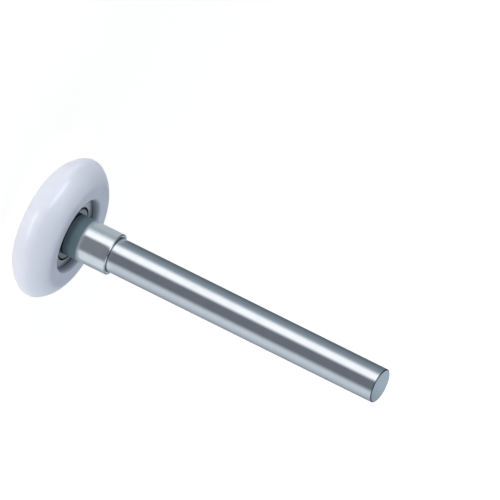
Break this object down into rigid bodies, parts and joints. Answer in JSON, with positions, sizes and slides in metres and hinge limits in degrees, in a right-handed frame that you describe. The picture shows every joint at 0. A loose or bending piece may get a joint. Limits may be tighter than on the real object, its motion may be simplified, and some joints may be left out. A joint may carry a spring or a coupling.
{
  "type": "garage door roller",
  "caption": "Garage door roller: a nylon wheel moulded round a shielded ball bearing, riveted to a plain steel stem with a spacer sleeve.",
  "frame": {"origin": "centre of the wheel's outer side, on the wheel's axis and level with its side land, which is the lowest face", "axes": "+Z along the stem towards its free end; X and Y across the wheel"},
  "size_m": [0.045, 0.045, 0.1189],
  "materials": {
    "zinc_plated_steel": "bright zinc plating",
    "bearing_steel": "ground",
    "shield_steel": "pressed sheet",
    "cage_steel": "pressed sheet",
    "moulded_nylon": "satin, moulded"
  },
  "bodies": {
    "stem": {"stem": "zinc_plated_steel", "sleeve": "zinc_plated_steel", "inner_ring": "bearing_steel"},
    "wheel": {"tyre": "moulded_nylon", "outer_ring": "bearing_steel", "shield_front": "shield_steel", "shield_back": "shield_steel"},
    "cage": {"cage_front": "cage_steel", "cage_back": "cage_steel", "cage_rivets": "cage_steel"},
    "ball_1": {"ball_1": "bearing_steel"},
    "ball_2": {"ball_2": "bearing_steel"},
    "ball_3": {"ball_3": "bearing_steel"},
    "ball_4": {"ball_4": "bearing_steel"},
    "ball_5": {"ball_5": "bearing_steel"},
    "ball_6": {"ball_6": "bearing_steel"},
    "ball_7": {"ball_7": "bearing_steel"},
    "ball_8": {"ball_8": "bearing_steel"}
  },
  "joints": [
    {"name": "wheel_spin", "type": "hinge", "parent": "stem", "child": "wheel", "pos_m": [0, 0, 0.0066], "axis": [0, 0, 1], "continuous": true},
    {"name": "cage_spin", "type": "hinge", "parent": "stem", "child": "cage", "pos_m": [0, 0, 0.0066], "axis": [0, 0, 1], "continuous": true},
    {"name": "ball_1_spin", "type": "hinge", "parent": "cage", "child": "ball_1", "pos_m": [0.01, 0, 0.0066], "axis": [0, 0, 1], "continuous": true},
    {"name": "ball_2_spin", "type": "hinge", "parent": "cage", "child": "ball_2", "pos_m": [0.00707, 0.00707, 0.0066], "axis": [0, 0, 1], "continuous": true},
    {"name": "ball_3_spin", "type": "hinge", "parent": "cage", "child": "ball_3", "pos_m": [0, 0.01, 0.0066], "axis": [0, 0, 1], "continuous": true},
    {"name": "ball_4_spin", "type": "hinge", "parent": "cage", "child": "ball_4", "pos_m": [-0.00707, 0.00707, 0.0066], "axis": [0, 0, 1], "continuous": true},
    {"name": "ball_5_spin", "type": "hinge", "parent": "cage", "child": "ball_5", "pos_m": [-0.01, 0, 0.0066], "axis": [0, 0, 1], "continuous": true},
    {"name": "ball_6_spin", "type": "hinge", "parent": "cage", "child": "ball_6", "pos_m": [-0.00707, -0.00707, 0.0066], "axis": [0, 0, 1], "continuous": true},
    {"name": "ball_7_spin", "type": "hinge", "parent": "cage", "child": "ball_7", "pos_m": [0, -0.01, 0.0066], "axis": [0, 0, 1], "continuous": true},
    {"name": "ball_8_spin", "type": "hinge", "parent": "cage", "child": "ball_8", "pos_m": [0.00707, -0.00707, 0.0066], "axis": [0, 0, 1], "continuous": true}
  ],
  "couplings": [
    {"joint": "cage_spin", "follows": "wheel_spin", "ratio": 0.61905},
    {"joint": "ball_1_spin", "follows": "wheel_spin", "ratio": 1.9809},
    {"joint": "ball_2_spin", "follows": "wheel_spin", "ratio": 1.9809},
    {"joint": "ball_3_spin", "follows": "wheel_spin", "ratio": 1.9809},
    {"joint": "ball_4_spin", "follows": "wheel_spin", "ratio": 1.9809},
    {"joint": "ball_5_spin", "follows": "wheel_spin", "ratio": 1.9809},
    {"joint": "ball_6_spin", "follows": "wheel_spin", "ratio": 1.9809},
    {"joint": "ball_7_spin", "follows": "wheel_spin", "ratio": 1.9809},
    {"joint": "ball_8_spin", "follows": "wheel_spin", "ratio": 1.9809}
  ]
}
